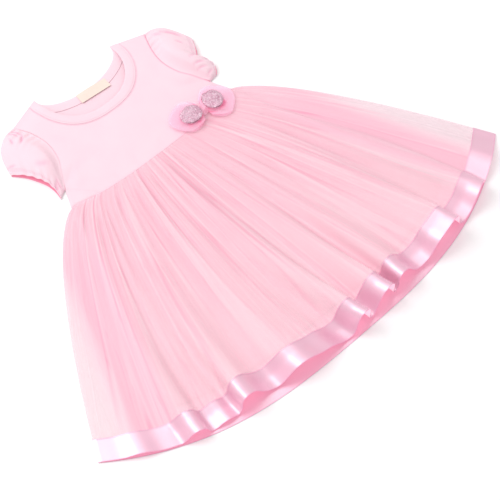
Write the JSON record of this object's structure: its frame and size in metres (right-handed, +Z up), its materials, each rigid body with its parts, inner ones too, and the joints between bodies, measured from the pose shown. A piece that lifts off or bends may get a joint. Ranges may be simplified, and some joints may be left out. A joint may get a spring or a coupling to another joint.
{
  "type": "toddler party dress",
  "caption": "Toddler dress laid flat: jersey bodice with puffed cap sleeves, gathered tulle skirt over a lining, satin ribbon hem and a glitter bow at the waist.",
  "frame": {"origin": "on the surface that the dress lies on, under the middle of the waist seam", "axes": "+Z up out of the front of the dress, +Y from the hem to the neck, +X to the viewer's right"},
  "size_m": [0.644, 0.5123, 0.0367],
  "materials": {
    "jersey": "smooth pale pink cotton jersey",
    "tulle": "soft fine pink tulle",
    "lining": "plain pink cotton lining",
    "satin": "glossy pink satin ribbon",
    "organza": "sheer bright pink organza",
    "glitter": "silvery pink glitter ribbon",
    "label": "woven cream tape, bare"
  },
  "bodies": {
    "root": {"bodice_back": "jersey", "bodice_front": "jersey", "neck_binding_back": "jersey", "neck_binding_front": "jersey", "sleeve_left": "jersey", "sleeve_right": "jersey", "label": "label", "skirt_back": "tulle", "skirt_front_1": "tulle", "skirt_front_2": "tulle", "skirt_front_3": "tulle", "skirt_front_4": "tulle", "lining_back": "lining", "lining_front": "lining", "hem_ribbon_back": "satin", "hem_ribbon_front_1": "satin", "hem_ribbon_front_2": "satin", "hem_ribbon_front_3": "satin", "hem_ribbon_front_4": "satin", "bow_wing_left": "organza", "bow_wing_right": "organza", "bow_glitter_left": "glitter", "bow_glitter_right": "glitter", "bow_knot": "organza"}
  },
  "joints": []
}
